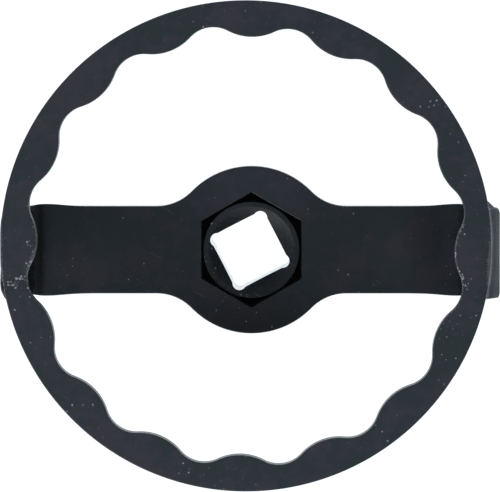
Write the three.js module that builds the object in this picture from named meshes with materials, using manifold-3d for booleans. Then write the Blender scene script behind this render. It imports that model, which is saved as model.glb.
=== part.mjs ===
// Ring-type oil filter wrench, a rigid weldment of three steel pieces.
//
//   filter_ring   flat scalloped ring that grips the lobes of a filter cover
//   bridge_strap  flat bar bent to a U, with a round hub and a hexagonal hole
//   drive_hex     hexagonal boss with a square drive hole, pushed through the hub
//   *_weld_*      the weld beads that hold the three together
//
// Millimetres, +Z up. The tool stands on the free end of its hexagon with the ring
// on top, open side up. The origin is at the middle of its footprint, on the ground.

import * as THREE from 'three';
import { mergeVertices } from 'three/addons/utils/BufferGeometryUtils.js';
import Module from 'manifold-3d';

// ---------------------------------------------------------------- driving sizes

const DEG = Math.PI / 180;

const ring = {
  pocketRadius: 46.5, // to the bottom of a pocket, half of the 93 mm filter size
  lobeDepth: 2.6, // from the bottom of a pocket to the crest of a lobe
  rimWidth: 5.05, // from the bottom of a pocket out to the rim
  lobes: 16,
  pocketArc: 6.5, // radius of the arc that forms a pocket
  thickness: 5,
  turn: -1.4 * DEG, // where the first lobe points
};

const strap = {
  ledge: 1, // each leg would stand this far outside the rim if it were in line
  width: 18.8,
  thickness: 5,
  innerBend: 2.5,
  headroom: 20, // from the strap's inner face up to the back of the ring
  hubWall: 5.6, // from the corners of the hexagonal hole out to the hub's edge
  hubFillet: 10.5,
  hexClearance: 0.25, // all round the hexagon
  weldPrep: 1.5, // chamfer on the outer edge of each leg's end
};

const drive = {
  square: 13, // side of the half-inch drive hole
  squareX: -0.35, // the square hole is broached a little off centre
  squareY: -0.19,
  wall: 4, // from a centred square to the flats of the hexagon
  cornerRound: 1.5,
  cornerRelief: 0.2, // the rounded corners are cut this far past the sides
  turn: 27.2 * DEG,
  standoff: 15, // hexagon left standing below the strap
  spigotStep: 0.15, // the round end inside the hub is turned this far below the flats
  spigotLength: 4,
  spigotRecess: 0.3, // the spigot ends this far below the strap's inner face
  sinkRim: 1.1, // flat ring left round each countersink
  sinkAngle: 45 * DEG,
  endChamfer: 30 * DEG,
};

const weld = {
  rise: 3, // height of the outer bead on the rim of the ring
  crown: 0.25, // how far a bead's face bulges
  runOut: 1.6, // how far an outer bead runs past the leg's edges
  innerLeg: 2, // both legs of the bead inside the bend, under the ring
  driveLeg: 3, // both legs of the bead round the hexagon
  gap: 0.3, // between a bead and the round or turned face it lies against
};

// The bridge and the ring were not welded quite in line.
const fitUp = { x: 1, y: -1.68 };

// ---------------------------------------------------------------- derived places

const ringCentre = new THREE.Vector2(-fitUp.x, 0);
const bridgeCentre = new THREE.Vector2(0, fitUp.y);
const strapBackZ = drive.standoff;
const strapInnerZ = strapBackZ + strap.thickness;
const ringBackZ = strapInnerZ + strap.headroom;
const spigotTopZ = strapInnerZ - drive.spigotRecess;
const rimRadius = ring.pocketRadius + ring.rimWidth;
const legOuterX = rimRadius + strap.ledge;
const legInnerX = legOuterX - strap.thickness;
const hexFlat = drive.square / 2 + drive.wall; // half of the 21 mm across flats
const holeFlat = hexFlat + strap.hexClearance;
const hubRadius = holeFlat / Math.cos(30 * DEG) + strap.hubWall;
const spigotRadius = hexFlat - drive.spigotStep;

// ---------------------------------------------------------------- small helpers

const wasm = await Module();
wasm.setup();

const at = (x, y) => new THREE.Vector2(x, y);

/** Points along an arc, from one angle to another, both ends included. */
function arc(cx, cy, radius, from, to, steps) {
  const angle = (i) => from + ((to - from) * i) / steps;
  const point = (i) => at(cx + radius * Math.cos(angle(i)), cy + radius * Math.sin(angle(i)));
  return Array.from({ length: steps + 1 }, (_, i) => point(i));
}

/** A closed outline without the points that repeat the one before them. */
function outline(points) {
  return points.filter((point, i) => point.distanceTo(points.at(i - 1)) > 1e-6);
}

/** A flat outline, with optional holes, drawn up from z = bottom by a height. */
function prism(edge, bottom, height, holes = []) {
  const shape = new THREE.Shape(edge);
  shape.holes = holes.map((hole) => new THREE.Path(hole));
  const geometry = new THREE.ExtrudeGeometry(shape, { depth: height, bevelEnabled: false });
  return geometry.translate(0, 0, bottom);
}

/** A solid of revolution about Z from (radius, z) pairs that start and end on the axis. */
function turned(profile, steps) {
  const points = profile.map(([radius, z]) => new THREE.Vector2(radius, z));
  return new THREE.LatheGeometry(points, steps).rotateX(90 * DEG);
}

/** A regular hexagon from the middle out to its flats, two of which face +X and -X. */
function hexagon(flat) {
  return outline(arc(0, 0, flat / Math.cos(30 * DEG), 30 * DEG, 390 * DEG, 6));
}

/** Skins equal rings of points, in order. An open run is closed by a fan at each end. */
function loft(sections, looped) {
  const count = sections[0].length;
  const positions = sections.flat().flatMap((p) => [p.x, p.y, p.z]);
  const index = [];
  const runs = looped ? sections.length : sections.length - 1;
  for (let s = 0; s < runs; s += 1) {
    const here = s * count;
    const next = ((s + 1) % sections.length) * count;
    for (let i = 0; i < count; i += 1) {
      const j = (i + 1) % count;
      index.push(here + i, here + j, next + j, here + i, next + j, next + i);
    }
  }
  if (!looped) {
    const last = (sections.length - 1) * count;
    for (let i = 1; i < count - 1; i += 1) {
      index.push(0, i + 1, i, last, last + i, last + i + 1);
    }
  }
  const geometry = new THREE.BufferGeometry();
  geometry.setAttribute('position', new THREE.Float32BufferAttribute(positions, 3));
  geometry.setIndex(index);
  return geometry;
}

/** A closed three.js geometry as a solid that can be joined and cut. */
function solid(geometry) {
  const bare = geometry.clone();
  bare.deleteAttribute('normal');
  bare.deleteAttribute('uv');
  const merged = mergeVertices(bare);
  const mesh = new wasm.Mesh({
    numProp: 3,
    vertProperties: new Float32Array(merged.attributes.position.array),
    triVerts: new Uint32Array(merged.index.array),
  });
  return new wasm.Manifold(mesh);
}

/** A joined or cut solid back as a three.js geometry. */
function geometryOf(body) {
  const mesh = body.getMesh();
  const geometry = new THREE.BufferGeometry();
  geometry.setAttribute('position', new THREE.BufferAttribute(mesh.vertProperties, 3));
  geometry.setIndex(new THREE.BufferAttribute(mesh.triVerts, 1));
  return geometry;
}

// ---------------------------------------------------------------- the ring

/** The scalloped hole: pocket arcs and lobe arcs that meet in tangents. */
function scallopedOutline() {
  const half = Math.PI / ring.lobes;
  const pocketCentre = ring.pocketRadius - ring.pocketArc;
  const tip = ring.pocketRadius - ring.lobeDepth;
  const lobeArc =
    (pocketCentre ** 2 + tip ** 2 - 2 * pocketCentre * tip * Math.cos(half) - ring.pocketArc ** 2) /
    (2 * (ring.pocketArc - tip + pocketCentre * Math.cos(half)));
  const lobeCentre = tip + lobeArc;
  const reach = Math.atan2(
    lobeCentre * Math.sin(half),
    lobeCentre * Math.cos(half) - pocketCentre,
  );
  const points = [];
  for (let k = 0; k < ring.lobes; k += 1) {
    const lobe = ring.turn + 2 * half * k;
    const pocket = lobe + half;
    const swing = reach - half;
    const inward = lobe + Math.PI;
    points.push(
      ...arc(lobeCentre * Math.cos(lobe), lobeCentre * Math.sin(lobe), lobeArc,
        inward + swing, inward - swing, 8),
      ...arc(pocketCentre * Math.cos(pocket), pocketCentre * Math.sin(pocket), ring.pocketArc,
        pocket - reach, pocket + reach, 12),
    );
  }
  return outline(points);
}

function filterRing() {
  const rim = outline(arc(0, 0, rimRadius, 0, 360 * DEG, 192));
  return prism(rim, 0, ring.thickness, [scallopedOutline()]);
}

// ---------------------------------------------------------------- the bridge

/** The bar seen from the side: two legs, two bends and the flat between them. */
function sideProfile() {
  const outerBend = strap.innerBend + strap.thickness;
  const turnX = legOuterX - outerBend;
  const turnZ = strapBackZ + outerBend;
  const prepZ = ringBackZ - strap.weldPrep;
  const prepX = legOuterX - strap.weldPrep;
  return outline([
    at(-legInnerX, ringBackZ), at(-prepX, ringBackZ), at(-legOuterX, prepZ),
    ...arc(-turnX, turnZ, outerBend, 180 * DEG, 270 * DEG, 12),
    ...arc(turnX, turnZ, outerBend, 270 * DEG, 360 * DEG, 12),
    at(legOuterX, prepZ), at(prepX, ringBackZ), at(legInnerX, ringBackZ),
    ...arc(turnX, turnZ, strap.innerBend, 0, -90 * DEG, 8),
    ...arc(-turnX, turnZ, strap.innerBend, 270 * DEG, 180 * DEG, 8),
  ]);
}

/** The bar seen from above: straight edges that flow round the hub in fillets. */
function planOutline() {
  const edge = strap.width / 2;
  const centreY = edge + strap.hubFillet;
  const centreX = Math.sqrt((hubRadius + strap.hubFillet) ** 2 - centreY ** 2);
  const lean = Math.atan2(centreY, centreX);
  const half = Math.PI / 2;
  const end = legOuterX + strap.thickness;
  const fillet = (x, y, from, to) => arc(x, y, strap.hubFillet, from, to, 12);
  const hub = (from, to) => arc(0, 0, hubRadius, from, to, 28);
  return outline([
    at(-end, -edge),
    ...fillet(-centreX, -centreY, half, lean),
    ...hub(Math.PI + lean, 2 * Math.PI - lean),
    ...fillet(centreX, -centreY, Math.PI - lean, half),
    at(end, -edge), at(end, edge),
    ...fillet(centreX, centreY, 3 * half, Math.PI + lean),
    ...hub(lean, Math.PI - lean),
    ...fillet(-centreX, centreY, -lean, -half),
    at(-end, edge),
  ]);
}

function bridgeStrap() {
  const depth = 2 * hubRadius + strap.width;
  const bar = prism(sideProfile(), -depth / 2, depth).rotateX(90 * DEG);
  const plan = prism(planOutline(), 0, 2 * ringBackZ);
  const hole = prism(hexagon(holeFlat), 0, 2 * strapInnerZ);
  return geometryOf(solid(bar).intersect(solid(plan)).subtract(solid(hole)));
}

// ---------------------------------------------------------------- the drive boss

/** The square hole, its corners rounded and cut slightly past the sides. */
function squareOutline() {
  const side = drive.square / 2;
  const centre = side + drive.cornerRelief - drive.cornerRound;
  const spread = Math.acos((side - centre) / drive.cornerRound);
  const corner = (k) => {
    const first = drive.turn + k * 90 * DEG;
    const diagonal = first + 45 * DEG;
    const reach = Math.SQRT2 * centre;
    return arc(reach * Math.cos(diagonal), reach * Math.sin(diagonal), drive.cornerRound,
      first - spread, first + 90 * DEG + spread, 10);
  };
  return outline([0, 1, 2, 3].flatMap(corner));
}

/** A cone that opens the square hole at one end, pointing down when dir is -1. */
function countersink(z, radius, dir) {
  const depth = radius * Math.tan(drive.sinkAngle);
  const profile = [[0, -depth], [radius, 0], [radius, 1], [0, 1]];
  const placed = profile.map(([r, height]) => [r, z - dir * height]);
  return turned(dir > 0 ? placed.reverse() : placed, 96);
}

function driveHex() {
  const shoulderZ = spigotTopZ - drive.spigotLength;
  const margin = 1;
  const blankRadius = hexFlat / Math.cos(30 * DEG) + margin;
  const chamferZ = (blankRadius - hexFlat) * Math.tan(drive.endChamfer);
  const body = turned([
    [0, 0], [hexFlat, 0], [blankRadius, chamferZ], [blankRadius, shoulderZ],
    [spigotRadius, shoulderZ], [spigotRadius, spigotTopZ], [0, spigotTopZ],
  ], 96);
  const hex = prism(hexagon(hexFlat), -margin, spigotTopZ + 2 * margin);
  const square = prism(squareOutline(), -margin, spigotTopZ + 2 * margin);
  square.translate(drive.squareX, drive.squareY, 0);
  const upperSink = countersink(spigotTopZ, spigotRadius - drive.sinkRim, -1);
  const lowerSink = countersink(0, hexFlat - drive.sinkRim, 1);
  return geometryOf(
    solid(body).intersect(solid(hex)).subtract(solid(square))
      .subtract(solid(upperSink)).subtract(solid(lowerSink)),
  );
}

// ---------------------------------------------------------------- the weld beads

/** How far the rim of the ring lies from the bridge's middle, at a place along Y. */
function rimX(side, y) {
  const height = y + bridgeCentre.y - ringCentre.y;
  const half = Math.sqrt(rimRadius ** 2 - height ** 2);
  return half + side * (ringCentre.x - bridgeCentre.x);
}

/** Rows along Y for a bead: full size to a distance each way, then a tapered end. */
function beadStations(full, taper) {
  const steps = 10;
  const middle = Array.from({ length: steps + 1 }, (_, i) => [full * ((2 * i) / steps - 1), 1]);
  const after = [[0.35, 0.85], [0.75, 0.55], [1, 0.2]].map(([t, size]) => [full + t * taper, size]);
  const before = after.map(([y, size]) => [-y, size]).reverse();
  return [...before, ...middle, ...after];
}

/** A bead along Y from a section in X and Z, on the side of the bridge that it names. */
function beadAlongY(side, stations, section) {
  const rows = stations.map(([y, size]) => {
    const points = section(y, size);
    return points.map((p) => new THREE.Vector3(side * p.x, y, p.y));
  });
  return loft(side > 0 ? rows.reverse() : rows, false);
}

/** The face of a bead from one toe to the other, bulging outwards to one side. */
function crowned(from, to) {
  const steps = 6;
  const along = to.clone().sub(from);
  const out = at(along.y, -along.x).normalize();
  return Array.from({ length: steps + 1 }, (_, i) => {
    const t = i / steps;
    const bulge = weld.crown * Math.sin(Math.PI * t);
    return from.clone().addScaledVector(along, t).addScaledVector(out, bulge);
  });
}

/** The bead outside a leg: it fills the leg's chamfer and climbs the rim of the ring. */
function outerWeld(side) {
  const section = (y, size) => {
    const rim = rimX(side, y);
    const root = at(Math.min(rim, legOuterX - strap.weldPrep), ringBackZ);
    const scaled = (x, z) => at(root.x + (x - root.x) * size, root.y + (z - root.y) * size);
    const toe = scaled(legOuterX, ringBackZ - strap.weldPrep);
    const top = scaled(Math.min(rim, legOuterX), ringBackZ + weld.rise);
    const back = rim - ring.rimWidth / 2;
    return [
      scaled(legOuterX - strap.weldPrep, ringBackZ), ...crowned(toe, top),
      at(back, top.y), at(back, ringBackZ),
    ];
  };
  const bead = beadAlongY(side, beadStations(strap.width / 2, weld.runOut), section);
  const rim = outline(arc(0, 0, rimRadius + weld.gap, 0, 360 * DEG, 192));
  const keepOut = prism(rim, ringBackZ, 2 * ring.thickness);
  keepOut.translate(ringCentre.x - bridgeCentre.x, ringCentre.y - bridgeCentre.y, 0);
  return geometryOf(solid(bead).subtract(solid(keepOut)));
}

/** The bead inside a leg, in the corner under the ring. */
function innerWeld(side) {
  const section = (y, size) => {
    const leg = weld.innerLeg * size;
    const face = crowned(at(legInnerX - leg, ringBackZ), at(legInnerX, ringBackZ - leg));
    return [at(legInnerX, ringBackZ), ...face];
  };
  const taper = weld.innerLeg / 2;
  return beadAlongY(side, beadStations(strap.width / 2 - taper, taper), section);
}

/** The bead round the hexagon, in the corner under the strap. */
function driveWeld() {
  const steps = 72;
  const rows = Array.from({ length: steps }, (_, i) => {
    const angle = (i / steps) * 360 * DEG;
    const fromFlat = ((angle + 30 * DEG) % (60 * DEG)) - 30 * DEG;
    const root = (hexFlat + weld.gap) / Math.cos(fromFlat);
    const toe = at(root + weld.driveLeg * Math.cos(fromFlat), strapBackZ);
    const face = crowned(at(root, strapBackZ - weld.driveLeg), toe);
    const points = [at(root, strapBackZ), ...face];
    return points.map((p) => new THREE.Vector3(p.x * Math.cos(angle), p.x * Math.sin(angle), p.y));
  });
  return loft(rows.reverse(), true);
}

// ---------------------------------------------------------------- the assembly

const black = { roughness: 0.5, metalness: 0.2 };
const finishes = {
  ringFace: new THREE.MeshStandardMaterial({ color: 0x33373b, ...black }),
  strapFace: new THREE.MeshStandardMaterial({ color: 0x25282d, ...black }),
  driveFace: new THREE.MeshStandardMaterial({ color: 0x2a2c2f, ...black }),
  bead: new THREE.MeshStandardMaterial({ color: 0x4d4f56, ...black }),
};

/** A named part. */
function part(name, geometry, material) {
  const mesh = new THREE.Mesh(geometry, material);
  mesh.name = name;
  return mesh;
}

const bridge = new THREE.Group();
bridge.position.set(bridgeCentre.x, bridgeCentre.y, 0);
bridge.add(
  part('bridge_strap', bridgeStrap(), finishes.strapFace),
  part('drive_hex', driveHex(), finishes.driveFace),
  part('drive_weld', driveWeld(), finishes.bead),
);
for (const [side, name] of [[1, 'right'], [-1, 'left']]) {
  bridge.add(
    part(`outer_weld_${name}`, outerWeld(side), finishes.bead),
    part(`inner_weld_${name}`, innerWeld(side), finishes.bead),
  );
}

const wrench = new THREE.Group();
const ringPart = part('filter_ring', filterRing(), finishes.ringFace);
ringPart.position.set(ringCentre.x, ringCentre.y, ringBackZ);
wrench.add(bridge, ringPart);

export default wrench;
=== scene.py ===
# %% [markdown]
# # A ring-type oil filter wrench
#
# The tool is three pieces of steel and their weld beads: a flat ring with a scalloped hole, a
# flat bar bent to a U, and a hexagonal boss with a square hole for a half-inch drive. It is
# coated satin black all over. The CAD frame gives the sizes and places. Here each piece gets
# the fine surface of the real one: broken edges, a bar that swells at its bends, rippled weld
# metal, and a coating with mottling, dust, scratches and wear.

# %% Load the frame
import math

import bmesh
import bpy
import numpy as np
from mathutils import Matrix, Vector


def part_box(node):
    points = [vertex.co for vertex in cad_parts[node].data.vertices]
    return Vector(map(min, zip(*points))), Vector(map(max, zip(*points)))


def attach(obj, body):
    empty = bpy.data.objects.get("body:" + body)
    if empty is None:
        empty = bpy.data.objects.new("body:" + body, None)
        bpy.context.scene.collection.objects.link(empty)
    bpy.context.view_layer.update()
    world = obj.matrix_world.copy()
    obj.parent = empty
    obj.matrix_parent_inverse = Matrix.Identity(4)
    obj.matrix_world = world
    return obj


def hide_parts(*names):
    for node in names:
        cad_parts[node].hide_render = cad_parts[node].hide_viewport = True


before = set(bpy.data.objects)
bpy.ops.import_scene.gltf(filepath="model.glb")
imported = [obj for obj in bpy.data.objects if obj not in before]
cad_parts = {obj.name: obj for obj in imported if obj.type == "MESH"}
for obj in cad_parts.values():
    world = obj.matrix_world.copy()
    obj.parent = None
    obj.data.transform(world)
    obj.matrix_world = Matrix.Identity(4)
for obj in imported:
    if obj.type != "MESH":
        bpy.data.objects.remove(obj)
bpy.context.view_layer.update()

MM = 0.001
TAU = 2 * math.pi
DEG = math.pi / 180

# %% [markdown]
# ## Measures
#
# What the frame can tell is read from its boxes: where each node starts and ends, and so the
# radius of the ring, the width of the hub and the heights of the faces. The sizes inside a box,
# such as the depth of a lobe, are named here with the values that the design has.

# %% Measures read from the frame


def corners(node):
    """The lowest and the highest corner of a node, as two numpy arrays."""
    low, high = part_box(node)
    return np.array(low), np.array(high)


ring_low, ring_high = corners("filter_ring")
ring_centre = (ring_low + ring_high) / 2
rim_radius = (ring_high[1] - ring_low[1]) / 2
ring_bottom, ring_top = ring_low[2], ring_high[2]

bar_low, bar_high = corners("bridge_strap")
bar_centre = (bar_low + bar_high) / 2
leg_outer = (bar_high[0] - bar_low[0]) / 2
hub_radius = (bar_high[1] - bar_low[1]) / 2
bar_bottom = bar_low[2]

boss_low, boss_high = corners("drive_hex")
hex_flat = (boss_high[0] - boss_low[0]) / 2
boss_bottom, boss_top = boss_low[2], boss_high[2]
print("rim", rim_radius, "leg", leg_outer, "hub", hub_radius, "hexagon", hex_flat)

# %% Measures that the boxes don't show
LOBES = 16
RIM_WIDTH = 5.05 * MM
LOBE_DEPTH = 2.6 * MM
POCKET_ARC = 6.5 * MM
RING_TURN = -1.4 * DEG
BAR_WIDTH = 18.8 * MM
BAR_THICKNESS = 5 * MM
INNER_BEND = 2.5 * MM
HUB_FILLET = 10.5 * MM
HEX_CLEARANCE = 0.25 * MM
SQUARE = 13 * MM
SQUARE_OFFSET = np.array([-0.35, -0.19]) * MM
SQUARE_CORNER = 1.5 * MM
SQUARE_RELIEF = 0.2 * MM
SQUARE_TURN = 27.2 * DEG
SPIGOT_STEP = 0.15 * MM
SPIGOT_LENGTH = 4 * MM
SINK_RIM = 1.1 * MM
HEX_CORNER = 0.35 * MM
END_CHAMFER_RADIUS = 10.2 * MM
RIM_CLIMB = 3 * MM
INNER_BEAD = 2 * MM
DRIVE_BEAD = 3 * MM

# %% [markdown]
# ## From arrays to meshes
#
# Every piece is a few patches. A patch is a grid of points, worked out all at once with numpy
# from two parameters. Patches that meet share their edge points, so laying them side by side and
# merging what coincides gives one closed skin. Flat faces next to small rounded edges need
# weighted normals, or the rounding would bleed into the flat.

# %% Mesh helpers


def quads(rows, columns, start=0):
    """The four-cornered faces of a grid whose points are numbered row by row from start."""
    row, column = np.mgrid[0:rows - 1, 0:columns - 1]
    first = (start + row * columns + column).ravel()
    return np.stack([first, first + 1, first + columns + 1, first + columns], axis=1)


def skin(name, patches, attributes=None, sharp=40 * DEG, merge=1e-7):
    """One closed mesh from patches, each an array of rows by columns by (x, y, z).

    attributes holds, for each name, one array of values per patch, kept as point attributes.
    """
    points = np.concatenate([patch.reshape(-1, 3) for patch in patches])
    faces, start = [], 0
    for patch in patches:
        faces.append(quads(patch.shape[0], patch.shape[1], start))
        start += patch.shape[0] * patch.shape[1]
    mesh = bpy.data.meshes.new(name)
    mesh.from_pydata(points, [], np.concatenate(faces))
    for key, values in (attributes or {}).items():
        layer = mesh.attributes.new(key, "FLOAT", "POINT")
        layer.data.foreach_set("value", np.concatenate([v.ravel() for v in values]))
    work = bmesh.new()
    work.from_mesh(mesh)
    bmesh.ops.remove_doubles(work, verts=work.verts, dist=merge)
    bmesh.ops.dissolve_degenerate(work, edges=work.edges, dist=merge)
    bmesh.ops.recalc_face_normals(work, faces=work.faces)
    open_edges = sum(1 for edge in work.edges if len(edge.link_faces) != 2)
    volume = work.calc_volume(signed=True)
    if volume < 0:
        bmesh.ops.reverse_faces(work, faces=work.faces)
    work.to_mesh(mesh)
    work.free()
    mesh.shade_smooth()
    mesh.set_sharp_from_angle(angle=sharp)
    piece = bpy.data.objects.new(name, mesh)
    bpy.context.scene.collection.objects.link(piece)
    weighted = piece.modifiers.new("flat faces stay flat", "WEIGHTED_NORMAL")
    weighted.keep_sharp = True
    print(name, len(mesh.polygons), "faces,", open_edges, "open edges,",
          round(abs(volume) * 1e9), "mm3")
    return piece


def stand_for(piece, node, material):
    """Puts a piece in the place of a CAD node, with its finish."""
    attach(piece, "root")
    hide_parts(node)
    piece.data.materials.append(material)


def bell(distance, width):
    """A bell curve: 1 at no distance, and 1/e at the width."""
    return np.exp(-((distance / width) ** 2))


def heading(angle):
    """Unit directions in x and y at the given angles."""
    return np.stack([np.cos(angle), np.sin(angle)], axis=-1)


def rounding(radius, steps=4):
    """A quarter round from one face to the next: distances in from the edge, on each face.

    Along the first face the distance goes from radius to 0 as radius times (1 - sine), and
    along the second from 0 to radius as radius times (1 - cosine).
    """
    angle = np.linspace(0, TAU / 4, steps + 1)
    return radius * (1 - np.sin(angle)), radius * (1 - np.cos(angle))


# %% [markdown]
# ## The finish
#
# The coating is a thin satin black, slightly blue. Close up it is never one colour: it is
# mottled over a few millimetres, finely grained, dusted with pale specks, and rubbed through
# where edges meet other things. Each of those effects is a node group, built once and placed in
# every material with its own values. The meshes carry an "edge" attribute, 1 on an edge and 0
# away from it, so wear follows the real edges.

# %% Node helpers
SOCKETS = {1: "NodeSocketFloat", 3: "NodeSocketVector", 4: "NodeSocketColor"}


def new_group(name, inputs, outputs):
    """A shader node group, with the sockets it is given and the sockets of its result.

    inputs holds a default for each input, and outputs how many numbers each output has.
    """
    group = bpy.data.node_groups.new(name, "ShaderNodeTree")
    for label, value in inputs.items():
        kind = SOCKETS[np.size(value)]
        group.interface.new_socket(label, in_out="INPUT", socket_type=kind).default_value = value
    for label, count in outputs.items():
        group.interface.new_socket(label, in_out="OUTPUT", socket_type=SOCKETS[count])
    given = group.nodes.new("NodeGroupInput").outputs
    result = group.nodes.new("NodeGroupOutput").inputs
    return group, given, result


def add(tree, kind, inputs=None, **settings):
    """A node with its settings. Each input is given a value, or another node's socket."""
    node = tree.nodes.new(kind)
    for key, value in settings.items():
        setattr(node, key, value)
    for key, value in (inputs or {}).items():
        if isinstance(value, bpy.types.NodeSocket):
            tree.links.new(value, node.inputs[key])
        else:
            node.inputs[key].default_value = value
    return node


def calc(tree, operation, first, second=0.0, third=0.0, clamp=False):
    """A math node on sockets or numbers, and its result."""
    return add(tree, "ShaderNodeMath", {0: first, 1: second, 2: third}, operation=operation,
               use_clamp=clamp).outputs[0]


def ramp(tree, value, low, high):
    """0 below low, 1 above high, and a smooth rise between them."""
    return add(tree, "ShaderNodeMapRange", {"Value": value, "From Min": low, "From Max": high},
               interpolation_type="SMOOTHSTEP").outputs[0]


def blend(tree, factor, first, second):
    """A colour between two colours, given as sockets or as (r, g, b, a)."""
    return add(tree, "ShaderNodeMix", {0: factor, 6: first, 7: second},
               data_type="RGBA").outputs[2]


def noise(tree, place, scale, detail, roughness=0.5):
    """Cloudy noise between 0 and 1, and the same as a colour."""
    return add(tree, "ShaderNodeTexNoise", {"Vector": place, "Scale": scale, "Detail": detail,
                                            "Roughness": roughness}).outputs


def shifted(tree, place, scale, reach):
    """A place moved by noise, by up to the reach along each axis."""
    shift = noise(tree, place, scale, 1.0)["Color"]
    return add(tree, "ShaderNodeVectorMath", {0: shift, 1: (reach, reach, reach), 2: place},
               operation="MULTIPLY_ADD").outputs[0]


def cells_of(tree, place, spacing):
    """Random cells of one size: how far the nearest middle is, and three lots for each cell."""
    cells = add(tree, "ShaderNodeTexVoronoi",
                {"Vector": place, "Scale": calc(tree, "DIVIDE", 1.0, spacing), "Randomness": 1.0})
    lots = add(tree, "ShaderNodeSeparateColor", {"Color": cells.outputs["Color"]}).outputs
    return cells.outputs["Distance"], lots


# %% Group: mottled coating


def build_coating():
    """Two sizes of cloudy noise mixed into a colour, a roughness and a height."""
    group, given, result = new_group(
        "mottled coating",
        {"Place": (0, 0, 0), "Colour": (0.02, 0.02, 0.02, 1), "Cloud": (0.03, 0.03, 0.03, 1),
         "Cloud Size": 0.008, "Grain Size": 0.0004, "Roughness": 0.4, "Roughness Spread": 0.1},
        {"Colour": 4, "Roughness": 1, "Height": 1})
    per_cloud = calc(group, "DIVIDE", 1.0, given["Cloud Size"])
    per_patch = calc(group, "DIVIDE", 4.5, given["Cloud Size"])
    per_grain = calc(group, "DIVIDE", 1.0, given["Grain Size"])
    cloud = noise(group, given["Place"], per_cloud, 3.0, 0.55)[0]
    patch = noise(group, given["Place"], per_patch, 2.0)[0]
    grain = noise(group, given["Place"], per_grain, 2.0, 0.6)[0]
    both = calc(group, "ADD", calc(group, "MULTIPLY", cloud, 0.65),
                calc(group, "MULTIPLY", patch, 0.35))
    colour = blend(group, ramp(group, both, 0.41, 0.61), given["Colour"], given["Cloud"])
    swing = calc(group, "SUBTRACT", calc(group, "MULTIPLY_ADD", grain, 0.4, both), 0.7)
    rough = calc(group, "MULTIPLY_ADD", swing, given["Roughness Spread"], given["Roughness"])
    height = calc(group, "MULTIPLY_ADD", cloud, 3.0, grain)
    group.links.new(colour, result["Colour"])
    group.links.new(rough, result["Roughness"])
    group.links.new(height, result["Height"])
    return group


# %% Group: dust specks


def build_specks():
    """Cells of about one size, of which a few, chosen by their own random value, hold a speck."""
    group, given, result = new_group(
        "dust specks",
        {"Place": (0, 0, 0), "Spacing": 0.003, "Size": 0.12, "Share": 0.1, "Drift Size": 0.012},
        {"Mask": 1})
    per_drift = calc(group, "DIVIDE", 1.0, given["Drift Size"])
    drift = noise(group, given["Place"], per_drift, 1.0)[0]
    thick = calc(group, "MULTIPLY", ramp(group, drift, 0.38, 0.72),
                 calc(group, "MULTIPLY", given["Share"], 2.2))
    moved = shifted(group, given["Place"], 1600.0, 0.0003)
    distance, lots = cells_of(group, moved, given["Spacing"])
    chosen = calc(group, "LESS_THAN", lots["Red"], thick)
    reach = calc(group, "MULTIPLY", given["Size"], calc(group, "ADD", lots["Green"], 0.35))
    near = calc(group, "SUBTRACT", 1.0,
                ramp(group, distance, calc(group, "MULTIPLY", reach, 0.45), reach))
    bright = calc(group, "MULTIPLY_ADD", lots["Blue"], 0.7, 0.3)
    mask = calc(group, "MULTIPLY", calc(group, "MULTIPLY", chosen, near), bright)
    group.links.new(mask, result["Mask"])
    return group


# %% Group: short scratches


def build_scratches():
    """Long narrow cells, of which a few hold a hairline along their length."""
    group, given, result = new_group(
        "short scratches",
        {"Place": (0, 0, 0), "Angle": 0.5, "Spacing": 0.005, "Share": 0.1}, {"Mask": 1})
    turned = add(group, "ShaderNodeVectorRotate",
                 {"Vector": given["Place"], "Angle": given["Angle"]}, rotation_type="Z_AXIS")
    bent_place = shifted(group, turned.outputs[0], 220.0, 0.0012)
    squeezed = add(group, "ShaderNodeVectorMath", {0: bent_place, 1: (0.22, 6.0, 0.15)},
                   operation="MULTIPLY")
    distance, lots = cells_of(group, squeezed.outputs[0], given["Spacing"])
    chosen = calc(group, "LESS_THAN", lots["Red"], given["Share"])
    line = calc(group, "SUBTRACT", 1.0, ramp(group, distance, 0.02, 0.08))
    mask = calc(group, "MULTIPLY", calc(group, "MULTIPLY", chosen, line),
                calc(group, "MULTIPLY_ADD", lots["Green"], 0.6, 0.25))
    group.links.new(mask, result["Mask"])
    return group


# %% Group: worn edges


def build_wear():
    """The edge attribute broken up by noise, so that only parts of an edge are rubbed."""
    group, given, result = new_group(
        "worn edges",
        {"Place": (0, 0, 0), "Edge": 0.0, "Amount": 0.5, "Speckle Size": 0.0007}, {"Mask": 1})
    runs = noise(group, given["Place"], 150.0, 2.0)[0]
    per_speckle = calc(group, "DIVIDE", 1.0, given["Speckle Size"])
    fine = noise(group, given["Place"], per_speckle, 3.0, 0.7)[0]
    level = calc(group, "MULTIPLY_ADD", given["Amount"], -0.5, 1.12)
    mix = calc(group, "MULTIPLY_ADD", fine, 0.65, calc(group, "MULTIPLY", runs, 0.55))
    pushed = calc(group, "MULTIPLY_ADD", given["Edge"], 0.35, mix)
    mask = ramp(group, pushed, level, calc(group, "ADD", level, 0.12))
    held = calc(group, "MULTIPLY", mask, ramp(group, given["Edge"], 0.05, 0.5))
    group.links.new(held, result["Mask"])
    return group


coating_group = build_coating()
specks_group = build_specks()
scratches_group = build_scratches()
wear_group = build_wear()
print("groups", [g.name for g in bpy.data.node_groups])

# %% [markdown]
# ## One recipe for four finishes
#
# Ring, bar, boss and beads came out of the same bath, so they share one recipe: coating, then
# painted light and shade, then scratches, then wear, then dust on top. They differ in colour and
# in how rough the steel under the coating was.

# %% The materials
# The first two colours are not the coating's own: one is painted light and one is painted shade.
PAINTED_LIGHT = (0.085, 0.095, 0.110, 1)
PAINTED_SHADE = (0.0006, 0.0011, 0.0018, 1)
SCRATCHED = (0.34, 0.35, 0.37, 1)
BARE_STEEL = (0.24, 0.25, 0.27, 1)
DUST = (0.66, 0.67, 0.68, 1)


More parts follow.
